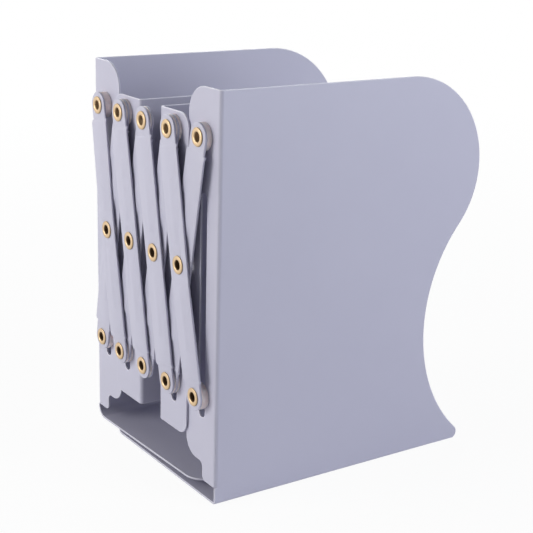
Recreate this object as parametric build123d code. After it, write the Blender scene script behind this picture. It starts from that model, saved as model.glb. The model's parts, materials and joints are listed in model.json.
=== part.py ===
"""An expanding bookend of folded sheet steel.

Two end frames are joined by a row of four crossed arm pairs, and two dividers ride on the linkage between them.
Millimetres. +X is the way the bookend expands, +Z is up, and the linkage is on the -Y side. The origin is at the
middle of the base of the whole object, as it stands in the photograph.
"""
import os
from math import acos, atan2, cos, degrees, radians, sqrt, tan

from build123d import *

# The whole object at rest
height = 185.0
plate_depth = 145.6
spread = 114.0
sheet = 1.0

# The side plates' S-shaped open edge: a round top corner, a hollow waist and a small foot
top_corner_radius = 44.0
waist_depth = 117.3
foot_depth = 143.3
foot_radius = 3.6

# The end frames' front flanges
flange_width = 25.2
flange_top_radius = 12.5
flange_bend_radius = 0.8
flange_step_height = 16.8
flange_step_radius = 8.6
flange_neck_width = 11.1
flange_neck_height = 8.1
flange_neck_radius = 2.8

# The base plates: the right one lies on the floor, and the left one rides over it
base_gap = 14.5
base_depth = 128.0
base_corner_radius = 11.0
right_base_bend_radius = 0.5
left_base_bend_radius = 5.2
left_base_clearance = 0.3
left_base_rise = 1.5

# The dividers
divider_below_slot = 13.4
divider_top_inset = 13.1
divider_bend_reach = 13.5
divider_free_reach = 11.2
divider_corner_radius = 6.5
divider_depth = 98.0
divider_panel_radius = 24.0
divider_clearance = 0.3

# The linkage: pivots, arms and slots
pivot_inset = 12.0
top_pivot_inset = 20.7
bottom_pivot_height = 48.7
crossings = 4
slot_below_pivot = 10.5
slot_under_hole = 24.3
arm_sheet = 1.0
arm_width = 14.4
tab_radius = 6.2
shoulder_drop = 6.6
shoulder_bend_length = 1.6
body_raise = 0.5
end_set_back = 1.0
rib_width = 6.2
rib_height = 0.5
rib_sink = 0.05
rib_crest_share = 0.45
rib_from_pivot = 20.0
rib_from_middle = 8.5

# Hollow eyelets and nylon washers
barrel_radius = 2.35
bore_radius = 2.1
head_radius = 4.1
head_thickness = 0.65
head_crest_radius = 3.2
mouth_depth = 0.5
clinch_radius = 3.7
clinch_thickness = 0.55
washer_radius = 6.1
arm_washer = 0.8
divider_washer = 1.1

# Fits
set_clearance = 0.02
turning_clearance = 0.08
slot_clearance = 0.1
face_clearance = 0.05
overrun = 5.0

# Layers, each as a distance in front of the end flanges' outer faces
divider_layer = divider_clearance
rear_layer = divider_layer + sheet + divider_washer + 2 * face_clearance
front_layer = rear_layer + arm_sheet + arm_washer + 2 * face_clearance
front_reach = front_layer + body_raise + arm_sheet + face_clearance + head_thickness

# Places worked out from the sizes above
flange_y = front_reach - (front_reach + plate_depth) / 2
base_length = spread - base_gap
pitch = (spread - 2 * pivot_inset) / crossings
top_pivot_height = height - top_pivot_inset
slot_bottom = bottom_pivot_height - slot_below_pivot
slot_top = top_pivot_height - slot_under_hole
divider_top = height - divider_top_inset
divider_bottom = slot_bottom - divider_below_slot
pivot_drop = top_pivot_height - bottom_pivot_height
arm_length = sqrt(pitch**2 + pivot_drop**2)
lean = degrees(acos(pivot_drop / arm_length))
pivot_x = [(i - crossings / 2) * pitch for i in range(crossings + 1)]
middle_height = (top_pivot_height + bottom_pivot_height) / 2


def layer(distance):
    """The upright plane at a distance in front of the end flanges, facing forwards."""
    return Plane.XZ.offset(distance - flange_y)


def save(part, name):
    """Writes one piece to its own file."""
    part = part.solid() if len(part.solids()) == 1 else part
    part.label = name
    export_step(part, f"parts/{name}.step")


# Folded sheets


def folded_section(upright, leg, inner_radius, rise=0.0):
    """An L-shaped section of sheet with its outer corner at the origin, one leg up y and the other along x."""
    lift = leg * tan(radians(rise))
    inner_y = sheet * tan(radians(rise)) + sheet / cos(radians(rise))
    outer_side = [(0, upright), (0, 0), (leg, lift)]
    inner_side = [(leg, lift + sheet / cos(radians(rise))), (sheet, inner_y), (sheet, upright)]
    section = make_face(Polyline(*outer_side, *inner_side, close=True))
    outer_corner = section.vertices().sort_by_distance((0, 0))[0]
    section = fillet(outer_corner, inner_radius + sheet)
    inner_corner = section.vertices().sort_by_distance((sheet, inner_y))[0]
    return fillet(inner_corner, inner_radius)


def waist_circle(corner, foot):
    """The hollow's radius and centre: it touches the waist line, the round top corner and the round foot."""
    near_corner = top_corner_radius + corner[0] - waist_depth
    near_foot = foot_radius + foot[0] - waist_depth
    far_corner = top_corner_radius - corner[0] + waist_depth
    far_foot = foot_radius - foot[0] + waist_depth

    # Both touching conditions give the radius; setting them equal leaves a quadratic in the centre's height
    square = near_foot - near_corner
    linear = 2 * (near_corner * foot[1] - near_foot * corner[1])
    constant = near_foot * (corner[1] ** 2 - near_corner * far_corner)
    constant -= near_corner * (foot[1] ** 2 - near_foot * far_foot)
    centre_y = 2 * constant / (sqrt(linear**2 - 4 * square * constant) - linear)
    radius = ((corner[1] - centre_y) ** 2 / near_corner - far_corner) / 2
    return radius, (waist_depth + radius, centre_y)


def plate_outline():
    """The side plate seen from outside: x is the distance back from the flange's face, y is the height."""
    corner = (plate_depth - top_corner_radius, height - top_corner_radius)
    foot = (foot_depth - foot_radius, foot_radius)
    waist_radius, waist = waist_circle(corner, foot)

    def towards_waist(centre, radius):
        share = radius / (radius + waist_radius)
        return tuple(c + (w - c) * share for c, w in zip(centre, waist))

    hip = towards_waist(corner, top_corner_radius)
    ankle = towards_waist(foot, foot_radius)
    toe_angle = degrees(acos((ankle[0] - foot[0]) / foot_radius))
    edge = Polyline((foot[0], 0), (0, 0), (0, height), (corner[0], height))
    edge += RadiusArc((corner[0], height), (plate_depth, corner[1]), top_corner_radius)
    edge += RadiusArc((plate_depth, corner[1]), hip, top_corner_radius)
    edge += ThreePointArc(hip, (waist_depth, waist[1]), ankle)
    edge += CenterArc(foot, foot_radius, -90, 90 + toe_angle)
    return make_face(edge)


def flange_outline():
    """An end frame's front flange seen from the front: x is the distance in from the plate's outer face."""
    corners = [
        (0, height),
        (flange_width, height),
        (flange_width, flange_step_height),
        (flange_neck_width, flange_step_height),
        (flange_neck_width, flange_neck_height),
        (0, flange_neck_height),
    ]
    outline = make_face(Polyline(*corners, close=True))
    rounds = [flange_top_radius, flange_step_radius, flange_neck_radius, flange_neck_radius]
    for corner, radius in zip(corners[1:5], rounds):
        outline = fillet(outline.vertices().sort_by_distance(corner)[0], radius)
    return outline


def pivot_holes(hole_radius):
    """The round hole for an upper pivot and the long slot for the lower one, centred on x 0."""
    slot_width = 2 * (barrel_radius + slot_clearance)
    slot_middle = (slot_top + slot_bottom) / 2
    slot = Pos(0, slot_middle) * SlotOverall(slot_top - slot_bottom, slot_width, rotation=90)
    return Pos(0, top_pivot_height) * Circle(hole_radius) + slot


def end_frame(base_bend_radius, base_rise, lift, hole_radius):
    """An end frame with its plate's outer face on x 0, folded towards +X, and its base plate lifted off the floor."""
    turn = flange_bend_radius + sheet
    base_turn = base_bend_radius + sheet
    back = Plane.YZ.offset(-overrun).location * Pos(flange_y, 0)

    # The side plate and the front flange are one fold, trimmed to their outlines
    section = folded_section(plate_depth, flange_width, flange_bend_radius)
    fold = Pos(0, flange_y, lift) * extrude(section, height - lift)
    base_edge = Pos(0, lift) * Rectangle(base_depth, base_turn, align=Align.MIN)
    plate_trim = back * extrude(plate_outline() - base_edge, overrun + turn)
    plate_trim -= Pos(0, flange_y) * Box(turn, turn, flange_neck_height, align=Align.MIN)
    flange_face = flange_outline() - Pos(pivot_inset, 0) * pivot_holes(hole_radius)
    flange_trim = layer(-turn).location * extrude(flange_face, turn + overrun)
    flange_trim &= Pos(turn, flange_y - overrun) * Box(flange_width, 2 * overrun, height, align=Align.MIN)
    frame = fold & (plate_trim + flange_trim)

    # The base plate is folded in from the foot of the side plate
    upright = max(flange_neck_height - lift, base_turn)
    base_fold = extrude(folded_section(upright, base_length, base_bend_radius, base_rise), base_depth)
    base = (Plane.XZ.offset(-flange_y).location * Pos(0, lift, -base_depth)) * base_fold
    base_plan = Rectangle(base_length, base_depth, align=Align.MIN)
    base_plan = fillet(base_plan.vertices().group_by(Axis.X)[-1], base_corner_radius)
    base &= Pos(0, flange_y) * extrude(base_plan, height)
    return frame + base


def divider():
    """A divider with its pivots on x 0 and its panel on the +X side."""
    turn = flange_bend_radius + sheet
    width = divider_free_reach + divider_bend_reach
    tall = divider_top - divider_bottom
    face_y = flange_y - divider_layer - sheet
    fold = extrude(folded_section(divider_depth, width, flange_bend_radius), tall)
    fold = Pos(divider_bend_reach, face_y, divider_bottom) * mirror(fold, Plane.YZ)

    flange = Rectangle(width, tall, align=Align.MIN)
    flange = fillet(flange.vertices().group_by(Axis.X)[0], divider_corner_radius)
    flange = Pos(-divider_free_reach, divider_bottom) * flange - pivot_holes(barrel_radius + turning_clearance)
    flange_trim = layer(-turn).location * extrude(flange, front_reach + turn)
    panel = Rectangle(divider_depth, tall, align=Align.MIN)
    panel = fillet(panel.vertices().group_by(Axis.X)[-1], divider_panel_radius)
    panel_start = Plane.YZ.offset(divider_bend_reach - turn).location * Pos(face_y, divider_bottom)
    panel_trim = panel_start * extrude(panel, turn)
    flange_zone = Pos(-divider_free_reach, face_y, divider_bottom) * Box(
        width - turn, turn, tall, align=Align.MIN
    )
    return fold & ((flange_trim & flange_zone) + panel_trim)


# The linkage


def half_slope(set_back):
    """How far half of an arm leans back, in degrees, when its end is set back: from its rib's start to its shoulder."""
    run = arm_length / 2 - shoulder_drop - shoulder_bend_length - rib_from_middle
    return degrees(atan2(set_back, run))


def arm_side(top_set_back, bottom_set_back):
    """An arm's strip of sheet seen from its edge: x is the height over the tabs' layer, y runs along the arm."""
    tip = arm_length / 2 + tab_radius
    shoulder = arm_length / 2 - shoulder_drop
    back = []
    for side, set_back in ((-1, bottom_set_back), (1, top_set_back)):
        half = [
            (-set_back, side * tip),
            (-set_back, side * shoulder),
            (body_raise - set_back, side * (shoulder - shoulder_bend_length)),
            (body_raise, side * rib_from_middle),
        ]
        back += half[::-side]
    front = [(x + arm_sheet, y) for x, y in reversed(back)]
    return make_face(Polyline(*back, *front, close=True))


def arm(top_clearance, middle_clearance, bottom_clearance, top_set_back=0.0, bottom_set_back=0.0):
    """A stamped arm, upright about its middle pivot, with the back of its end tabs on z 0 and its front at +Z."""
    strip = extrude(Rot(0, -90, 0) * arm_side(top_set_back, bottom_set_back), arm_width / 2, both=True)
    plan = SlotOverall(arm_length + 2 * tab_radius, 2 * tab_radius, rotation=90)
    plan += Rectangle(arm_width, arm_length - 2 * shoulder_drop)
    blank = strip & extrude(plan, overrun, both=True)

    # A shallow rib is pressed forwards in each half, and the holes are punched
    rib_length = arm_length / 2 - rib_from_pivot - rib_from_middle
    rib_slope = degrees(atan2(rib_width * (1 - rib_crest_share) / 2, rib_height))
    rib = Pos(0, rib_length / 2) * extrude(Rectangle(rib_width, rib_length), rib_height, taper=rib_slope)
    for turn, set_back in ((180, bottom_set_back), (0, top_set_back)):
        place = Rot(0, 0, turn) * Pos(0, rib_from_middle, body_raise - rib_sink) * Rot(-half_slope(set_back))
        blank = blank + place * Pos(0, 0, arm_sheet) * rib - place * rib
    for place, clearance in ((1, top_clearance), (0, middle_clearance), (-1, bottom_clearance)):
        hole = Cylinder(barrel_radius + clearance, 2 * overrun)
        blank -= Pos(0, place * arm_length / 2) * hole
    return blank


def eyelet(grip):
    """A hollow eyelet along +Z: its clinched end is under z 0 and its rolled head over the grip length."""
    head_top = grip + head_thickness
    outline = [
        (bore_radius, -clinch_thickness),
        (clinch_radius, 0),
        (barrel_radius, 0),
        (barrel_radius, grip),
        (head_radius, grip),
        (head_crest_radius, head_top),
        (bore_radius, head_top - mouth_depth),
    ]
    section = make_face(Polyline(*outline, close=True))
    return revolve(Plane.XZ * section, Axis.Z)


def washer(thickness):
    """A flat nylon washer from z 0 up."""
    return extrude(Circle(washer_radius) - Circle(barrel_radius + set_clearance), thickness)


def stand(part, x, z, distance, turn=0.0):
    """Puts a piece that was made facing +Z in front of the end flanges, facing forwards."""
    return (layer(distance).location * Pos(x, z) * Rot(0, 0, turn)) * part


def pivot_stack(place, x, z, back, front):
    """An eyelet that holds everything from one layer to another, with its name's place."""
    grip = front - back + 2 * face_clearance
    save(stand(eyelet(grip), x, z, back - face_clearance), f"eyelet_{place}")


def pack_between(name, x, z, back, front):
    """A washer or spacer that fills the room between two layers."""
    thickness = front - back - 2 * face_clearance
    save(stand(washer(thickness), x, z, back + face_clearance), name)


os.makedirs("parts", exist_ok=True)
running_hole = barrel_radius + turning_clearance
set_hole = barrel_radius + set_clearance

left_lift = sheet + left_base_clearance
left_frame = end_frame(left_base_bend_radius, left_base_rise, left_lift, set_hole)
right_frame = end_frame(right_base_bend_radius, 0.0, 0.0, running_hole)
save(Pos(-spread / 2) * left_frame, "end_frame_left")
save(Pos(spread / 2) * mirror(right_frame, Plane.YZ), "end_frame_right")
save(Pos(pivot_x[1]) * divider(), "divider_left")
save(Pos(pivot_x[-2]) * mirror(divider(), Plane.YZ), "divider_right")

# Front arms lean to the left and turn on the eyelets of what carries them; the last one carries its own lower eyelet
# Where a front arm is alone on an end frame, that half of it leans back towards the frame
# Rear arms lean to the right and carry the eyelets at both their ends
for i in range(crossings):
    middle_x = (pivot_x[i] + pivot_x[i + 1]) / 2
    first, last = i == 0, i == crossings - 1
    lower_fit = set_clearance if last else slot_clearance
    front_arm = arm(turning_clearance, set_clearance, lower_fit, first * end_set_back, last * end_set_back)
    rear_arm = arm(set_clearance, turning_clearance, set_clearance)
    save(stand(front_arm, middle_x, middle_height, front_layer, lean), f"front_arm_{i + 1}")
    save(stand(rear_arm, middle_x, middle_height, rear_layer, -lean), f"rear_arm_{i + 1}")
    rear_back = rear_layer + body_raise
    front_back = front_layer + body_raise
    pivot_stack(f"middle_{i + 1}", middle_x, middle_height, rear_back, front_back + arm_sheet)
    pack_between(f"washer_middle_{i + 1}", middle_x, middle_height, rear_back + arm_sheet, front_back)

# The upper and lower pivots, from left to right
for i, x in enumerate(pivot_x):
    first, last = i == 0, i == crossings
    on_divider = i in (1, crossings - 1)
    for level, z in (("top", top_pivot_height), ("bottom", bottom_pivot_height)):
        place = f"{level}_{i + 1}"
        if first or last:
            on_front_arm = first == (level == "top")
            arm_back = front_layer - end_set_back if on_front_arm else rear_layer
            pivot_stack(place, x, z, -sheet, arm_back + arm_sheet)
            pack_between(f"spacer_{place}", x, z, 0, arm_back)
        elif on_divider:
            pivot_stack(place, x, z, divider_layer, front_layer + arm_sheet)
            pack_between(f"washer_{place}", x, z, rear_layer + arm_sheet, front_layer)
            pack_between(f"washer_{place}_rear", x, z, divider_layer + sheet, rear_layer)
        else:
            pivot_stack(place, x, z, rear_layer, front_layer + arm_sheet)
            pack_between(f"washer_{place}", x, z, rear_layer + arm_sheet, front_layer)

print(f"arm length {arm_length:.2f} mm, lean at rest {lean:.2f} degrees, pitch {pitch:.2f} mm")
print(f"flange face y {flange_y:.3f} mm, front of the stack {front_reach:.2f} mm")
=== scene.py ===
"""An expanding bookend of powder-coated sheet steel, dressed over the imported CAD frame.

Metres. +X is the way the bookend expands, +Z is up, and the linkage is on the -Y side. After the camera and
the studio, each section is one kind of piece: the folded sheets, the arms, then the eyelets that pin them
together and the washers between them.
"""
import json
from math import cos, pi, radians, sin

import bmesh
import bpy
from mathutils import Matrix, Vector

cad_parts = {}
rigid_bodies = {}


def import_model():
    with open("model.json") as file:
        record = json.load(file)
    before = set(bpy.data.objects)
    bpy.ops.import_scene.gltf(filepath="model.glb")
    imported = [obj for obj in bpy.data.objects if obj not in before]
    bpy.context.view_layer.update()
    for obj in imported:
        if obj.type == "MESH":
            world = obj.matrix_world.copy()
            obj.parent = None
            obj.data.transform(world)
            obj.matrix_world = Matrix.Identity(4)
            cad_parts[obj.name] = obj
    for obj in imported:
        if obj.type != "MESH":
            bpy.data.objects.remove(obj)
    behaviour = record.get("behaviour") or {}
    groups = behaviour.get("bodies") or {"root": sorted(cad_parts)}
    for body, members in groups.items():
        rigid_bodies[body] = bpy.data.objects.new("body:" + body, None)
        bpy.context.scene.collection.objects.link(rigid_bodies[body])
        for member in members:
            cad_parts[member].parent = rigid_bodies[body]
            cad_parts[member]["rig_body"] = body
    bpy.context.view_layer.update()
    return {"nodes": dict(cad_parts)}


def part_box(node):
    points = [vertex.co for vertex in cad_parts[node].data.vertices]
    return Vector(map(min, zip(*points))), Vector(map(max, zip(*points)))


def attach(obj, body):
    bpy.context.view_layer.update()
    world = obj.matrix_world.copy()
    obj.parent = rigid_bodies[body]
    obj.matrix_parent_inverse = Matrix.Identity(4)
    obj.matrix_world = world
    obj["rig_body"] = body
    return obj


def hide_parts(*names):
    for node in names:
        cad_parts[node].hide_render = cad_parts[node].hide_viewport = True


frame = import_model()
scene = bpy.context.scene
scene.view_settings.view_transform = "Standard"


# The photographer's camera, with a short telephoto lens, 60 cm from the object and 26 cm above the table.
# It looks at the right end plate and the linkage, and leans by a degree and a half.

mm = 0.001
camera_focal_length = 84.4
camera_turn = radians(55.7)
camera_rise = radians(16.53)
camera_roll = radians(1.56)
camera_distance = 604.9 * mm
camera_aim = Vector((0, -14, 92.5)) * mm
aim_right_of_centre = -6.45 * mm
aim_above_centre = 4.15 * mm
nearest_seen = 10 * mm


def direction(turn, rise):
    """A unit vector away from the object: turn goes round from the front towards +X, and rise goes up."""
    return Vector((sin(turn) * cos(rise), -cos(turn) * cos(rise), sin(rise)))


back = direction(camera_turn, camera_rise)
level = Vector((cos(camera_turn), sin(camera_turn), 0))
right = Matrix.Rotation(camera_roll, 3, back) @ level
up = back.cross(right)
camera = bpy.data.objects.new("camera", bpy.data.cameras.new("camera"))

# Blender takes the focal length in millimetres, for a sensor 36 mm wide
camera.data.lens = camera_focal_length
camera.data.clip_start = nearest_seen
axes = Matrix((right, up, back)).transposed().to_4x4()
stand = camera_aim + back * camera_distance - right * aim_right_of_centre - up * aim_above_centre
camera.matrix_world = Matrix.Translation(stand) @ axes
scene.collection.objects.link(camera)
scene.camera = camera


# The photographer's table: white card that runs on behind, with a ring of four softboxes in a dim white room.
# The front lamp is low and the brightest, so the linkage is lit and the inside between the plates stays dark.
# The card looks paper white to the camera, and keeps a faint shadow under the object.

card_size = 6000 * mm
card_colour = "#F2F2F4"
paper_white = "#FFFFFF"
paper_strength = 1.0
shadow_full_within = 250 * mm
shadow_gone_from = 1100 * mm
paper_share_near = 0.94
paper_share_far = 1.0
room_colour = "#F4F5FA"
room_strength = 0.1
softbox_distance = 1500 * mm
softbox_width = 900 * mm
softboxes = [
    # name, degrees round from the front, degrees up, power in watts, colour
    ("softbox_front", -18, 15, 16.8, "#FFFEF9"),
    ("softbox_left", -70, 30, 3.8, "#FFFEF8"),
    ("softbox_right", 125, 18, 15.1, "#F4F8FF"),
    ("softbox_back", -120, 15, 10.0, "#F6F9FF"),
]


def srgb(code):
    """A colour written as an sRGB hex code, turned to linear values with full opacity."""
    channels = [int(code[i : i + 2], 16) / 255 for i in (1, 3, 5)]
    return [c / 12.92 if c <= 0.04045 else ((c + 0.055) / 1.055) ** 2.4 for c in channels] + [1.0]


def add_node(tree, kind, inputs=None, **settings):
    """Adds a node. inputs gives, by socket, a plain value, or the output or the node that is linked to it."""
    node = tree.nodes.new(kind)
    for name, value in settings.items():
        setattr(node, name, value)
    for socket, value in (inputs or {}).items():
        if isinstance(value, bpy.types.Node):
            value = value.outputs[0]
        if isinstance(value, bpy.types.NodeSocket):
            tree.links.new(value, node.inputs[socket])
        else:
            node.inputs[socket].default_value = value
    return node


def seen_directly(tree):
    """1 for what the camera sees straight, mirrored or through something, and 0 for light on a surface."""
    rays = add_node(tree, "ShaderNodeLightPath").outputs
    either = {0: rays["Is Camera Ray"], 1: rays["Is Glossy Ray"]}
    seen = add_node(tree, "ShaderNodeMath", either, operation="MAXIMUM")
    return add_node(tree, "ShaderNodeMath", {0: seen, 1: rays["Is Transmission Ray"]}, operation="MAXIMUM")


paper = {"Color": srgb(paper_white), "Strength": paper_strength}
dim_light = {"Color": srgb(room_colour), "Strength": room_strength}

world = bpy.data.worlds.new("white_room")
world.use_nodes = True
room_tree = world.node_tree
room_tree.nodes.clear()
lighting = add_node(room_tree, "ShaderNodeBackground", dim_light)
backdrop = add_node(room_tree, "ShaderNodeBackground", paper)
room = add_node(room_tree, "ShaderNodeMixShader", {0: seen_directly(room_tree), 1: lighting, 2: backdrop})
add_node(room_tree, "ShaderNodeOutputWorld", {0: room})
scene.world = world

card_white = bpy.data.materials.new("white_card")
card_white.use_nodes = True
card_tree = card_white.node_tree
card_tree.nodes.clear()
matt = add_node(card_tree, "ShaderNodeBsdfDiffuse", {"Color": srgb(card_colour)})
bright = add_node(card_tree, "ShaderNodeEmission", paper)

# Near the object a little of the matt card, which takes the shadow, shows through the paper white
spot = add_node(card_tree, "ShaderNodeTexCoord").outputs["Object"]
distance = add_node(card_tree, "ShaderNodeVectorMath", {0: spot}, operation="LENGTH").outputs["Value"]
fade = {
    "Value": distance,
    "From Min": shadow_full_within,
    "From Max": shadow_gone_from,
    "To Min": paper_share_near,
    "To Max": paper_share_far,
}
paper_share = add_node(card_tree, "ShaderNodeMapRange", fade)
seen_share = {0: seen_directly(card_tree), 1: paper_share}
share = add_node(card_tree, "ShaderNodeMath", seen_share, operation="MULTIPLY")
card_mix = add_node(card_tree, "ShaderNodeMixShader", {0: share, 1: matt, 2: bright})
add_node(card_tree, "ShaderNodeOutputMaterial", {0: card_mix})

half = card_size / 2
card_corners = [(-half, -half, 0), (half, -half, 0), (half, half, 0), (-half, half, 0)]
card_mesh = bpy.data.meshes.new("card")
card_mesh.from_pydata(card_corners, [], [(0, 1, 2, 3)])
card_mesh.materials.append(card_white)
card = bpy.data.objects.new("card", card_mesh)
scene.collection.objects.link(card)

for name, turn, rise, power, colour in softboxes:
    towards = direction(radians(turn), radians(rise))
    lamp = bpy.data.objects.new(name, bpy.data.lights.new(name, "AREA"))
    lamp.data.energy = power
    lamp.data.color = srgb(colour)[:3]
    lamp.data.size = softbox_width
    lamp.location = camera_aim + towards * softbox_distance
    lamp.rotation_mode = "QUATERNION"
    lamp.rotation_quaternion = towards.to_track_quat("Z", "Y")
    scene.collection.objects.link(lamp)


# Two end frames and two dividers, each laser-cut from 1 mm mild steel, folded and powder coated.
# The coat runs round the cut edges and leaves them softly rounded, and these are painted near white, a
# painted highlight, so every edge draws a thin bright line.

coat_colour = "#BCBBCD"
coat_deep_colour = "#B7B6C9"
# Near white: a painted highlight for the rounded cut edges of the end frames and dividers
coat_painted_highlight_colour = "#E4E3EE"
coat_roughness = 0.42
coat_edge_roughness = 0.35
polyester_ior = 1.5
patch_size = 40 * mm
peel_size = 1.1 * mm
peel_depth = 0.004 * mm

cut_edge_radius = 0.33 * mm
edge_steps = 3
outer_edge = radians(50)
doubled_within = 0.002 * mm
sharp_from = radians(35)
flat_face_weight = 100

# Corners of the CAD mesh this close together are one, and so are faces that differ by no more than this angle
same_corner_within = 0.02 * mm
same_face_within = radians(0.2)

# The right plate stands just off the table at its toe, which is its foot beyond the end of the base's fold
right_toe_lift = 0.45 * mm
plate_inside = 55.9 * mm
fold_end = 58.4 * mm
fold_touch = 0.05 * mm
toe_start = 60 * mm

# A Mix node has a set of sockets for each kind of value, all under the same names. These are the places of
# the ones for colours
mix_colour_a = 6
mix_colour_b = 7
mixed_colour = 2


def object_pattern(tree, size):
    """A noise pattern on the piece's own coordinates, with features of about the given size."""
    where = add_node(tree, "ShaderNodeTexCoord").outputs["Object"]
    return add_node(tree, "ShaderNodeTexNoise", {"Vector": where, "Scale": 1 / size}).outputs["Fac"]


def powder_coat(name, thick_colour, thin_coat_and_highlight_colour, roughness):
    """Polyester powder on steel: sprayed on dry and baked, so it flows to a satin skin with a faint peel."""
    material = bpy.data.materials.new(name)
    material.use_nodes = True
    tree = material.node_tree
    skin = tree.nodes["Principled BSDF"]
    skin.inputs["Roughness"].default_value = roughness
    skin.inputs["IOR"].default_value = polyester_ior

    # The coat is a shade deeper where it went on thicker, in patches as wide as a hand's sweep of the gun
    # On the edge material the lighter colour is near white, so there the patches mix in a painted highlight
    patches = {
        "Factor": object_pattern(tree, patch_size),
        mix_colour_a: srgb(thick_colour),
        mix_colour_b: srgb(thin_coat_and_highlight_colour),
    }
    mixed = add_node(tree, "ShaderNodeMix", patches, data_type="RGBA")
    tree.links.new(mixed.outputs[mixed_colour], skin.inputs["Base Color"])

    # The real peel is a few micrometres deep on a millimetre's wave
    peel = {"Height": object_pattern(tree, peel_size), "Distance": peel_depth, "Strength": 1.0}
    tree.links.new(add_node(tree, "ShaderNodeBump", peel).outputs["Normal"], skin.inputs["Normal"])
    return material


coat = powder_coat("powder_coat", coat_deep_colour, coat_colour, coat_roughness)
# The edge material is painted near white, a painted highlight on the rounded cut edges
painted_highlight_coat = powder_coat("powder_coat_painted_highlight", coat_colour, coat_painted_highlight_colour, coat_edge_roughness)


def merged_copy(node):
    """A copy of a CAD node's mesh with its triangles joined up and its flat faces made whole."""
    mesh = bmesh.new()
    mesh.from_mesh(frame["nodes"][node].data)
    bmesh.ops.remove_doubles(mesh, verts=mesh.verts, dist=same_corner_within)
    bmesh.ops.dissolve_limit(mesh, angle_limit=same_face_within, verts=mesh.verts, edges=mesh.edges)
    return mesh


def evaluated_mesh(piece):
    """The piece's mesh as its modifiers leave it, which are then taken off."""
    mesh = bpy.data.meshes.new_from_object(piece.evaluated_get(bpy.context.evaluated_depsgraph_get()))
    piece.modifiers.clear()
    return mesh


def coated_sheet(node, edge_radius, edge_material, toe_lift=0.0, pressed=False):
    """Replaces a CAD node with a copy whose cut edges are rounded, under the powder coat."""
    mesh = merged_copy(node)

    # Close to the fold only the lowest corners belong to the toe, because the fold itself stays as it is
    for corner in mesh.verts:
        past_fold = corner.co.y > toe_start or (corner.co.y > fold_end and corner.co.z < fold_touch)
        if past_fold and corner.co.x > plate_inside and corner.co.z < toe_lift:
            corner.co.z = toe_lift

    # Only outer edges are rounded: an inner corner, such as the end of a fold, stays as it is cut
    rounded_share = mesh.edges.layers.float.new("bevel_weight_edge")
    for edge in mesh.edges:
        edge[rounded_share] = float(edge.is_manifold and edge.calc_face_angle_signed() > outer_edge)
    cut = bpy.data.meshes.new(node + "_coated")
    mesh.to_mesh(cut)
    mesh.free()
    cut.materials.clear()
    cut.materials.append(coat)
    cut.materials.append(edge_material)
    piece = bpy.data.objects.new(node + "_coated", cut)
    scene.collection.objects.link(piece)
    rounding = piece.modifiers.new("rounded_edges", "BEVEL")
    rounding.width = edge_radius
    rounding.segments = edge_steps
    rounding.limit_method = "WEIGHT"
    rounding.use_clamp_overlap = False
    # The rounded faces take the edge material: a painted highlight on the end frames and dividers, plain coat
    # on the arms
    rounding.material = len(cut.materials) - 1
    rounded = evaluated_mesh(piece)

    # The rounding leaves doubled corners where three edges meet
    mesh = bmesh.new()
    mesh.from_mesh(rounded)
    bmesh.ops.remove_doubles(mesh, verts=mesh.verts, dist=doubled_within)
    for face in mesh.faces:
        face.smooth = True
    for edge in mesh.edges:
        edge.smooth = edge.calc_face_angle(0.0) < sharp_from
    mesh.to_mesh(rounded)
    mesh.free()
    piece.data = rounded

    # Large flat faces keep their own direction, so no edge shades them. A pressed arm is a little dished
    if not pressed:
        flatness = piece.modifiers.new("flat_faces", "WEIGHTED_NORMAL")
        flatness.keep_sharp = True
        flatness.weight = flat_face_weight
        piece.data = evaluated_mesh(piece)
    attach(piece, frame["nodes"][node]["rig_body"])
    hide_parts(node)


for node in ("end_frame_left", "divider_left", "divider_right"):
    coated_sheet(node, cut_edge_radius, painted_highlight_coat)
coated_sheet("end_frame_right", cut_edge_radius, painted_highlight_coat, right_toe_lift)


# Eight arms, stamped from the same 1 mm steel with a pressed rib in each half, and coated before riveting.
# The press rounds their edges a little more than the laser does the big sheets.

arm_edge_radius = 0.35 * mm

for node in frame["nodes"]:
    if "_arm_" in node:
        coated_sheet(node, arm_edge_radius, coat, pressed=True)


# Fourteen hollow eyelets of brass, one through every pivot, drawn from strip and tumbled to a satin shine.
# The head is rolled over into a round lip, and a punch spreads the other end out behind the last sheet.

around_pivot = 48
steps_in_a_round = 4
seam_closed_within = 0.001 * mm

bore_radius = 2.1 * mm
throat_radius = 2.25 * mm
barrel_radius = 2.35 * mm
mouth_radius = 2.5 * mm
flare_radius = 2.7 * mm
crown_radius = 3.2 * mm
clinch_radius = 3.7 * mm
head_radius = 4.1 * mm

# Heights at the clinched end are measured up from it, and depths at the head are measured down from its crown
clinch_rim_height = 0.28 * mm
clinch_height = 0.55 * mm
flare_height = 0.9 * mm
mouth_depth = 0.03 * mm
shoulder_depth = 0.12 * mm
throat_depth = 0.25 * mm
bore_depth = 0.6 * mm
lip_depth = 0.65 * mm

crease_round = 0.05 * mm
throat_round = 0.1 * mm
clinch_round = 0.1 * mm
rim_round = 0.12 * mm
mouth_round = 0.2 * mm
shoulder_round = 0.3 * mm
bore_round = 0.3 * mm
flare_edge_round = 0.4 * mm
flare_round = 0.6 * mm
crown_round = 1.5 * mm

# How much painted shade each place gets: 0 is bright brass and 1 is the dark brown of full painted shade
unshaded = 0.0
partly_shaded = 0.3
shaded_under_head = 0.9
fully_shaded = 1.0
throat_painted_shade_share = 0.7
upper_bore_painted_shade = 0.45

brass_colour = "#D8BC96"
brass_painted_shade_colour = "#50381A"
brass_roughness = 0.34
brass_painted_shade_roughness = 0.6
tumbling_dent_size = 0.33 * mm
tumbling_dent_depth = 0.006 * mm


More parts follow.
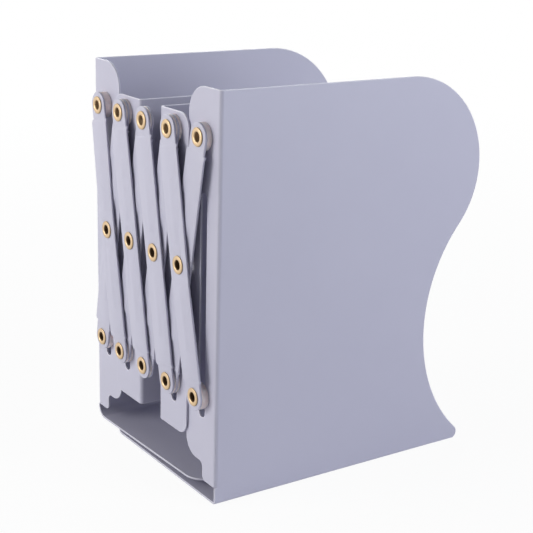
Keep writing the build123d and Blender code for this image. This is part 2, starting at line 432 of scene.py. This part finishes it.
def turned_on_pivot():
    """Geometry Nodes that turn a closed outline about a pivot: x is the radius, and z goes towards -Y."""
    tree = bpy.data.node_groups.new("turned_on_pivot", "GeometryNodeTree")
    for name, kind in (
        ("Outline", "NodeSocketGeometry"),
        ("Around", "NodeSocketInt"),
        ("Steps In A Round", "NodeSocketInt"),
        ("Pivot", "NodeSocketVector"),
        ("Finish", "NodeSocketMaterial"),
    ):
        tree.interface.new_socket(name, in_out="INPUT", socket_type=kind)
    tree.interface.new_socket("Turned", in_out="OUTPUT", socket_type="NodeSocketGeometry")
    given = add_node(tree, "NodeGroupInput").outputs

    # The outline's corners are rounded, each by its own radius
    rounding = add_node(tree, "GeometryNodeInputNamedAttribute", {"Name": "rounding"}, data_type="FLOAT")
    rounds = {
        "Curve": add_node(tree, "GeometryNodeMeshToCurve", {"Mesh": given["Outline"]}),
        "Radius": rounding,
        "Count": given["Steps In A Round"],
        "Limit Radius": True,
    }
    softened = add_node(tree, "GeometryNodeFilletCurve", rounds, mode="POLY")
    section = add_node(tree, "GeometryNodeCurveToMesh", {"Curve": softened})
    corners = add_node(tree, "GeometryNodeAttributeDomainSize", {"Geometry": section}).outputs["Point Count"]

    # One row of a flat grid is the section, closed on itself, and the rows go once around
    columns = add_node(tree, "ShaderNodeMath", {0: corners, 1: 1.0}, operation="ADD")
    rows = add_node(tree, "ShaderNodeMath", {0: given["Around"], 1: 1.0}, operation="ADD")
    grid = {"Size X": 1.0, "Size Y": 1.0, "Vertices X": columns, "Vertices Y": rows}
    sheet = add_node(tree, "GeometryNodeMeshGrid", grid)

    # The grid is 1 across, with 0 in its middle, so its x says which corner of the section a point takes
    flat = add_node(tree, "ShaderNodeSeparateXYZ", {0: add_node(tree, "GeometryNodeInputPosition")}).outputs
    from_edge = add_node(tree, "ShaderNodeMath", {0: flat["X"], 1: 0.5}, operation="ADD")
    along = add_node(tree, "ShaderNodeMath", {0: from_edge, 1: corners}, operation="MULTIPLY")
    nearest = add_node(tree, "ShaderNodeMath", {0: along}, operation="ROUND")
    corner = add_node(tree, "ShaderNodeMath", {0: nearest, 1: corners}, operation="MODULO")
    place_there = {"Geometry": section, "Value": add_node(tree, "GeometryNodeInputPosition"), "Index": corner}
    place = add_node(tree, "GeometryNodeSampleIndex", place_there, data_type="FLOAT_VECTOR", domain="POINT")
    # Each corner's share of painted shade goes along onto the turned wall
    painted_shade = add_node(tree, "GeometryNodeInputNamedAttribute", {"Name": "painted_shade"}, data_type="FLOAT")
    painted_shade_there = {"Geometry": section, "Value": painted_shade, "Index": corner}
    painted_shade_sample = add_node(tree, "GeometryNodeSampleIndex", painted_shade_there, data_type="FLOAT", domain="POINT")

    # Its y is how far around the pivot the point is
    angle = add_node(tree, "ShaderNodeMath", {0: flat["Y"], 1: 2 * pi}, operation="MULTIPLY")
    sideways = add_node(tree, "ShaderNodeMath", {0: angle}, operation="COSINE")
    upwards = add_node(tree, "ShaderNodeMath", {0: angle}, operation="SINE")
    drawn = add_node(tree, "ShaderNodeSeparateXYZ", {0: place}).outputs
    turned = {
        "X": add_node(tree, "ShaderNodeMath", {0: drawn["X"], 1: sideways}, operation="MULTIPLY"),
        "Y": add_node(tree, "ShaderNodeMath", {0: drawn["Z"], 1: -1.0}, operation="MULTIPLY"),
        "Z": add_node(tree, "ShaderNodeMath", {0: drawn["X"], 1: upwards}, operation="MULTIPLY"),
    }
    around = add_node(tree, "ShaderNodeCombineXYZ", turned)
    position = add_node(tree, "ShaderNodeVectorMath", {0: around, 1: given["Pivot"]}, operation="ADD")
    marks = {"Geometry": sheet, "Name": "painted_shade", "Value": painted_shade_sample}
    marked = add_node(tree, "GeometryNodeStoreNamedAttribute", marks, data_type="FLOAT", domain="POINT")
    body = add_node(tree, "GeometryNodeSetPosition", {"Geometry": marked, "Position": position})
    seam = {"Geometry": body, "Distance": seam_closed_within}
    closed = add_node(tree, "GeometryNodeMergeByDistance", seam)
    whole = add_node(tree, "GeometryNodeRealizeInstances", {"Geometry": closed})
    finished = add_node(tree, "GeometryNodeSetMaterial", {"Geometry": whole, "Material": given["Finish"]})
    add_node(tree, "NodeGroupOutput", {"Turned": finished})
    return tree


turning = turned_on_pivot()


def turn_on_pivot(node, outline, finish):
    """Replaces a CAD node with an outline turned about its pivot.

    A corner of the outline has a radius, a height, the radius that rounds it, and how much painted shade it
    gets.
    """
    low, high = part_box(node)
    drawing = bpy.data.meshes.new(node + "_turned")
    corners = [(radius, 0, height) for radius, height, _, _ in outline]
    drawing.from_pydata(corners, [(i, (i + 1) % len(corners)) for i in range(len(corners))], [])
    drawing.attributes.new("rounding", "FLOAT", "POINT").data.foreach_set("value", [c[2] for c in outline])
    drawing.attributes.new("painted_shade", "FLOAT", "POINT").data.foreach_set("value", [c[3] for c in outline])
    piece = bpy.data.objects.new(node + "_turned", drawing)
    scene.collection.objects.link(piece)
    modifier = piece.modifiers.new("turning", "NODES")
    modifier.node_group = turning
    pivot = ((low[0] + high[0]) / 2, high[1], (low[2] + high[2]) / 2)
    given = {"Around": around_pivot, "Steps In A Round": steps_in_a_round, "Pivot": pivot, "Finish": finish}
    for socket in turning.interface.items_tree:
        if socket.name in given:
            modifier[socket.identifier] = given[socket.name]
    turned = evaluated_mesh(piece)
    piece.data = turned

    # The turned wall is closed, and its faces are made to point outwards
    mesh = bmesh.new()
    mesh.from_mesh(turned)
    bmesh.ops.recalc_face_normals(mesh, faces=mesh.faces)
    mesh.to_mesh(turned)
    mesh.free()
    turned.shade_smooth()
    turned.set_sharp_from_angle(angle=sharp_from)
    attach(piece, frame["nodes"][node]["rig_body"])
    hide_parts(node)


def eyelet_outline(length, bore_painted_shade):
    """An eyelet's section from the clinched end forwards, then back down the bore."""
    neck = length - lip_depth
    return [
        (clinch_radius, clinch_rim_height, rim_round, partly_shaded),
        (clinch_radius, clinch_height, clinch_round, partly_shaded),
        (barrel_radius, clinch_height, crease_round, fully_shaded),
        (barrel_radius, neck, crease_round, fully_shaded),
        (head_radius, neck, rim_round, shaded_under_head),
        (head_radius, length - shoulder_depth, shoulder_round, partly_shaded),
        (crown_radius, length, crown_round, unshaded),
        (mouth_radius, length - mouth_depth, mouth_round, unshaded),
        (throat_radius, length - throat_depth, throat_round, throat_painted_shade_share * bore_painted_shade),
        (bore_radius, length - bore_depth, bore_round, bore_painted_shade),
        (bore_radius, flare_height, flare_round, bore_painted_shade),
        (flare_radius, 0, flare_edge_round, partly_shaded),
    ]


def brass():
    """Pale brass strip with a satin shine on the head, and painted shade: the bore and the rim under the head
    are painted dark brown.
    """
    material = bpy.data.materials.new("brass_eyelet")
    material.use_nodes = True
    tree = material.node_tree
    skin = tree.nodes["Principled BSDF"]

    # Painted shade: the bore, the crevice under the head and its rim are painted dark brown, rougher and less
    # metallic
    painted_shade = add_node(tree, "ShaderNodeAttribute", attribute_name="painted_shade").outputs["Fac"]
    tones = {"Factor": painted_shade, mix_colour_a: srgb(brass_colour), mix_colour_b: srgb(brass_painted_shade_colour)}
    mixed = add_node(tree, "ShaderNodeMix", tones, data_type="RGBA")
    tree.links.new(mixed.outputs[mixed_colour], skin.inputs["Base Color"])
    sheen = add_node(tree, "ShaderNodeMix", {"Factor": painted_shade, "A": brass_roughness, "B": brass_painted_shade_roughness})
    tree.links.new(sheen.outputs[0], skin.inputs["Roughness"])
    metal = add_node(tree, "ShaderNodeMath", {0: 1.0, 1: painted_shade}, operation="SUBTRACT")
    tree.links.new(metal.outputs[0], skin.inputs["Metallic"])

    # Tumbling leaves fine dents a third of a millimetre apart
    pattern = object_pattern(tree, tumbling_dent_size)
    dents = {"Height": pattern, "Distance": tumbling_dent_depth, "Strength": 1.0}
    tree.links.new(add_node(tree, "ShaderNodeBump", dents).outputs["Normal"], skin.inputs["Normal"])
    return material


pale_brass = brass()

# The bores of the five upper eyelets get less painted shade than the others, so they are brighter, as they
# look in the photograph
for node in frame["nodes"]:
    if node.startswith("eyelet_"):
        low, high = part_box(node)
        bore_painted_shade = upper_bore_painted_shade if node.startswith("eyelet_top") else fully_shaded
        section = eyelet_outline(high[1] - low[1], bore_painted_shade)
        turn_on_pivot(node, section, pale_brass)


# Flat washers between the layers and thicker spacers on the end frames, punched and turned from milky nylon.
# They keep the coated faces from rubbing, and their softly broken edges let a little light in.

washer_bore = 2.37 * mm
washer_edge = 0.12 * mm
nylon_clear_colour = "#F3DCD8"
nylon_cloudy_colour = "#FBECEA"
nylon_roughness = 0.45
nylon_ior = 1.53
scatter_share = 0.6
scatter_depth = 2.0 * mm
scatter_depth_shares = (1.0, 0.75, 0.7)
cloud_size = 1.5 * mm
skin_dent_size = 0.4 * mm
skin_dent_depth = 0.003 * mm


def washer_outline(radius, thickness):
    """A washer's section: a strip with its four edges broken. Nothing on it has painted shade."""
    corners = ((radius, 0), (radius, thickness), (washer_bore, thickness), (washer_bore, 0))
    return [(across, height, washer_edge, unshaded) for across, height in corners]


def nylon():
    """Natural nylon, left undyed: a milky, faintly pink plastic with a soft skin, which light goes into."""
    material = bpy.data.materials.new("nylon_washer")
    material.use_nodes = True
    tree = material.node_tree
    skin = tree.nodes["Principled BSDF"]
    skin.inputs["Roughness"].default_value = nylon_roughness
    skin.inputs["IOR"].default_value = nylon_ior
    skin.inputs["Subsurface Weight"].default_value = scatter_share
    skin.inputs["Subsurface Radius"].default_value = scatter_depth_shares
    skin.inputs["Subsurface Scale"].default_value = scatter_depth

    # Nylon crystallises unevenly as it cools, so it is clearer in some spots and cloudier in others
    clouds = {
        "Factor": object_pattern(tree, cloud_size),
        mix_colour_a: srgb(nylon_clear_colour),
        mix_colour_b: srgb(nylon_cloudy_colour),
    }
    mixed = add_node(tree, "ShaderNodeMix", clouds, data_type="RGBA")
    tree.links.new(mixed.outputs[mixed_colour], skin.inputs["Base Color"])

    # Barrel finishing leaves shallow dents, which keep the skin from shining evenly
    dents = {"Height": object_pattern(tree, skin_dent_size), "Distance": skin_dent_depth, "Strength": 1.0}
    tree.links.new(add_node(tree, "ShaderNodeBump", dents).outputs["Normal"], skin.inputs["Normal"])
    return material


milky_nylon = nylon()

for node in frame["nodes"]:
    if node.startswith(("washer_", "spacer_")):
        low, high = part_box(node)
        section = washer_outline((high[0] - low[0]) / 2, high[1] - low[1])
        turn_on_pivot(node, section, milky_nylon)
